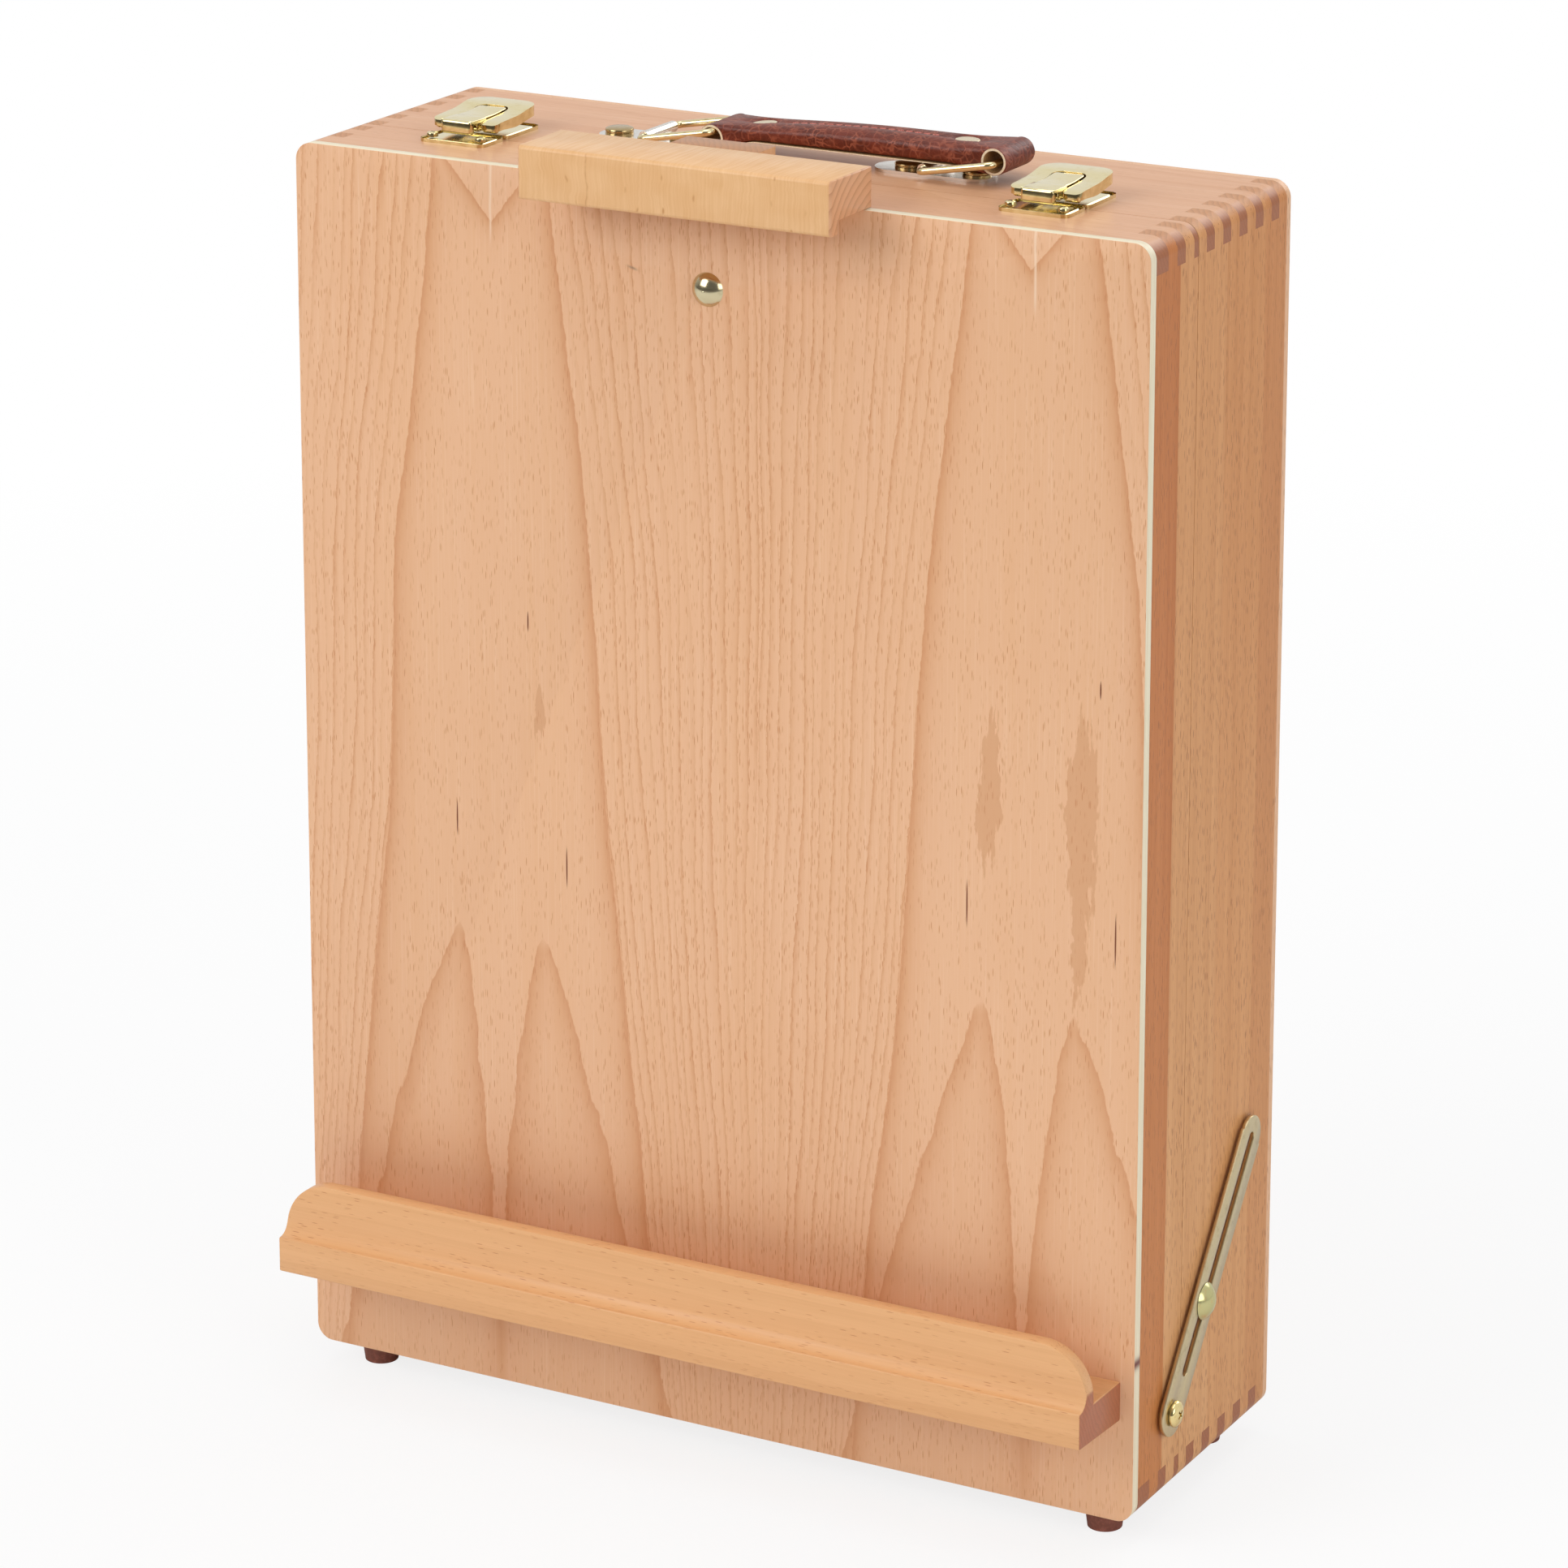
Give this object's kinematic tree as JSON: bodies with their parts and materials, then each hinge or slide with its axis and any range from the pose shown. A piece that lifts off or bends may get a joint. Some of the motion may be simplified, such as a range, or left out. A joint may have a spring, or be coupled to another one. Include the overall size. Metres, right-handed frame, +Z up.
{
  "type": "french easel",
  "caption": "Closed tabletop sketch-box easel in beech: front panel with canvas ledge, sliding mast with clamp, slotted side stays, brass latches, leather handle and rubber feet.",
  "frame": {"origin": "on the floor, under the middle of the whole object's bounding box, standing on its feet and closed", "axes": "+Z up, +Y to the rear of the case (the canvas panel faces -Y), +X to the right seen from the front"},
  "size_m": [0.3322, 0.1386, 0.4601],
  "materials": {
    "beech_veneer": "satin lacquered flat-sawn beech plywood with pale edges",
    "beech_boards": "satin lacquered beech with dark end-grain fingers",
    "beech_solid": "satin lacquered solid beech",
    "divider_wood": "plain sanded wood",
    "feet": "matt brown rubber",
    "bright_brass": "polished pale brass plate",
    "pale_brass": "satin pale brass",
    "bronze_screws": "dark bronze, domed and polished",
    "handle_leather": "reddish-brown crackle leather, satin",
    "screw_brass": "polished yellow brass",
    "stay_brass": "dull yellow passivated metal"
  },
  "bodies": {
    "box": {"box_left_wall": "beech_boards", "box_right_wall": "beech_boards", "box_top_wall": "beech_boards", "box_bottom_wall": "beech_boards", "box_back": "beech_veneer", "divider_cross": "divider_wood", "divider_lower": "divider_wood", "divider_upper": "divider_wood", "foot_rear_left": "feet", "foot_rear_right": "feet", "handle_bracket_left": "pale_brass", "handle_bracket_right": "pale_brass", "handle_screw_left_inner": "bronze_screws", "handle_screw_left_outer": "bronze_screws", "handle_screw_right_inner": "bronze_screws", "handle_screw_right_outer": "bronze_screws", "latch_base_left": "bright_brass", "latch_base_right": "bright_brass", "hinge_box_leaf_left": "stay_brass", "hinge_box_leaf_right": "stay_brass", "stay_stud_left": "stay_brass", "stay_stud_right": "stay_brass"},
    "lid": {"lid_panel": "beech_veneer", "lid_left_wall": "beech_boards", "lid_right_wall": "beech_boards", "lid_top_wall": "beech_boards", "lid_bottom_wall": "beech_boards", "ledge": "beech_solid", "mast_keeper": "beech_solid", "mast_bolt": "stay_brass", "mast_guide_left": "beech_solid", "mast_guide_right": "beech_solid", "foot_front_left": "feet", "foot_front_right": "feet", "stay_pivot_left": "screw_brass", "stay_pivot_right": "screw_brass", "latch_catch_left": "bright_brass", "latch_catch_right": "bright_brass", "hinge_lid_leaf_left": "stay_brass", "hinge_lid_leaf_right": "stay_brass"},
    "mast": {"mast": "beech_solid", "clamp_bar": "beech_solid"},
    "mast_nut": {"mast_nut": "stay_brass"},
    "handle": {"handle_strap": "handle_leather", "handle_rivet_left": "pale_brass", "handle_rivet_right": "pale_brass"},
    "handle_ring_left": {"handle_ring_left": "pale_brass"},
    "stay_left": {"stay_left": "stay_brass"},
    "stay_bolt_left": {"stay_bolt_left": "stay_brass"},
    "stay_nut_left": {"stay_nut_left": "stay_brass"},
    "latch_lever_left": {"latch_lever_left": "bright_brass"},
    "latch_tongue_left": {"latch_tongue_left": "bright_brass"},
    "handle_ring_right": {"handle_ring_right": "pale_brass"},
    "stay_right": {"stay_right": "stay_brass"},
    "stay_bolt_right": {"stay_bolt_right": "stay_brass"},
    "stay_nut_right": {"stay_nut_right": "stay_brass"},
    "latch_lever_right": {"latch_lever_right": "bright_brass"},
    "latch_tongue_right": {"latch_tongue_right": "bright_brass"}
  },
  "joints": [
    {"name": "lid_hinge", "type": "hinge", "parent": "box", "child": "lid", "pos_m": [0, -0.00265, 0.0074], "axis": [1, 0, 0], "range_deg": [0, 90]},
    {"name": "mast_slide", "type": "slide", "parent": "lid", "child": "mast", "axis": [0, 0, 1], "range_m": [0, 0.25]},
    {"name": "mast_nut_turn", "type": "hinge", "parent": "lid", "child": "mast_nut", "pos_m": [0, -0.02185, 0.4114], "axis": [0, 1, 0], "continuous": true},
    {"name": "stay_left_pivot", "type": "hinge", "parent": "lid", "child": "stay_left", "pos_m": [-0.1612, -0.01305, 0.0401], "axis": [1, 0, 0], "range_deg": [-89, 0]},
    {"name": "stay_left_bolt_slide", "type": "slide", "parent": "stay_left", "child": "stay_bolt_left", "axis": [0, 0.615, 0.7885], "range_m": [0, 0.051]},
    {"name": "stay_left_nut_turn", "type": "hinge", "parent": "box", "child": "stay_nut_left", "pos_m": [-0.1491, 0.01105, 0.071], "axis": [1, 0, 0], "continuous": true},
    {"name": "stay_right_pivot", "type": "hinge", "parent": "lid", "child": "stay_right", "pos_m": [0.1612, -0.01305, 0.0401], "axis": [1, 0, 0], "range_deg": [-89, 0]},
    {"name": "stay_right_bolt_slide", "type": "slide", "parent": "stay_right", "child": "stay_bolt_right", "axis": [0, 0.615, 0.7885], "range_m": [0, 0.051]},
    {"name": "stay_right_nut_turn", "type": "hinge", "parent": "box", "child": "stay_nut_right", "pos_m": [0.1491, 0.01105, 0.071], "axis": [-1, 0, 0], "continuous": true},
    {"name": "handle_lift", "type": "hinge", "parent": "box", "child": "handle_ring_left", "pos_m": [-0.053, 0.02155, 0.4476], "axis": [0, -1, 0], "range_deg": [0, 159.4]},
    {"name": "handle_ring_right_turn", "type": "hinge", "parent": "box", "child": "handle_ring_right", "pos_m": [0.053, 0.02155, 0.4476], "axis": [0, -1, 0], "range_deg": [0, 159.4]},
    {"name": "handle_loop_turn", "type": "hinge", "parent": "handle_ring_left", "child": "handle", "pos_m": [-0.02594, 0.02155, 0.45252], "axis": [0, -1, 0], "range_deg": [-159.4, 0]},
    {"name": "latch_left_lever_lift", "type": "hinge", "parent": "box", "child": "latch_lever_left", "pos_m": [-0.112, -0.00685, 0.4489], "axis": [1, 0, 0], "range_deg": [0, 100]},
    {"name": "latch_left_tongue_turn", "type": "hinge", "parent": "latch_lever_left", "child": "latch_tongue_left", "pos_m": [-0.112, 0.00695, 0.4507], "axis": [1, 0, 0], "range_deg": [-100, 0]},
    {"name": "latch_right_lever_lift", "type": "hinge", "parent": "box", "child": "latch_lever_right", "pos_m": [0.1087, -0.00685, 0.4489], "axis": [1, 0, 0], "range_deg": [0, 100]},
    {"name": "latch_right_tongue_turn", "type": "hinge", "parent": "latch_lever_right", "child": "latch_tongue_right", "pos_m": [0.1087, 0.00695, 0.4507], "axis": [1, 0, 0], "range_deg": [-100, 0]}
  ],
  "couplings": [
    {"joint": "stay_left_pivot", "follows": "lid_hinge", "ratio": -0.983},
    {"joint": "stay_left_bolt_slide", "follows": "lid_hinge", "m_per_rad": 0.031854},
    {"joint": "stay_right_pivot", "follows": "lid_hinge", "ratio": -0.983},
    {"joint": "stay_right_bolt_slide", "follows": "lid_hinge", "m_per_rad": 0.031854},
    {"joint": "handle_ring_right_turn", "follows": "handle_lift", "ratio": 1},
    {"joint": "handle_loop_turn", "follows": "handle_lift", "ratio": -1},
    {"joint": "latch_left_tongue_turn", "follows": "latch_left_lever_lift", "ratio": -1},
    {"joint": "latch_right_tongue_turn", "follows": "latch_right_lever_lift", "ratio": -1}
  ]
}
